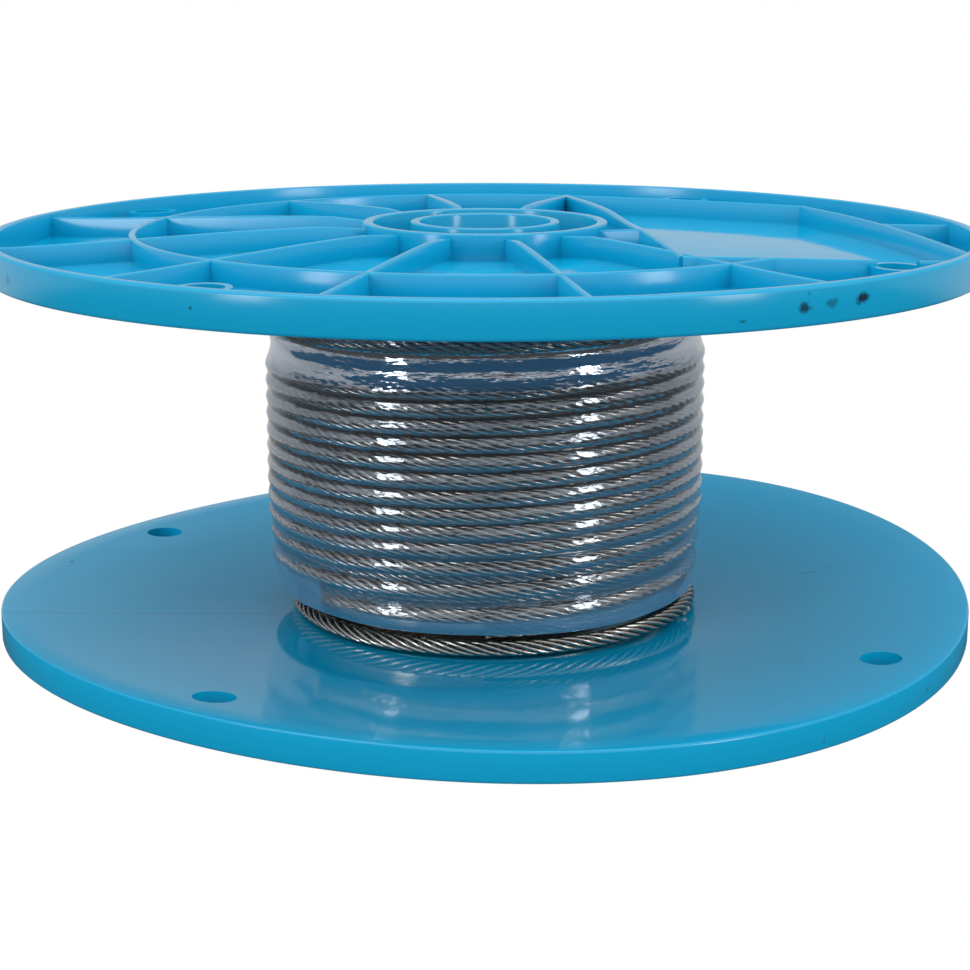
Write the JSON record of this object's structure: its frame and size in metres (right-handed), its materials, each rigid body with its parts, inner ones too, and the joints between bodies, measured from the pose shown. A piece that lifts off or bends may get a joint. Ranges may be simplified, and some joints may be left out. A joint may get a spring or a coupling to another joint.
{
  "type": "reel of wire rope",
  "caption": "Steel wire rope wound on a ribbed plastic spool with wide round flanges and wrapped in clear shrink film.",
  "frame": {"origin": "centre of the spool's axis at floor level", "axes": "+Z along the spool's axis, up; -Y towards the viewer; +X to the viewer's right"},
  "size_m": [0.21, 0.21, 0.0918],
  "materials": {
    "blue_plastic": "gloss, moulded",
    "rope_steel": "bright drawn wire",
    "clear_film": "clear shrink film"
  },
  "bodies": {
    "root": {"spool": "blue_plastic", "wire_rope": "rope_steel", "shrink_film": "clear_film"}
  },
  "joints": []
}
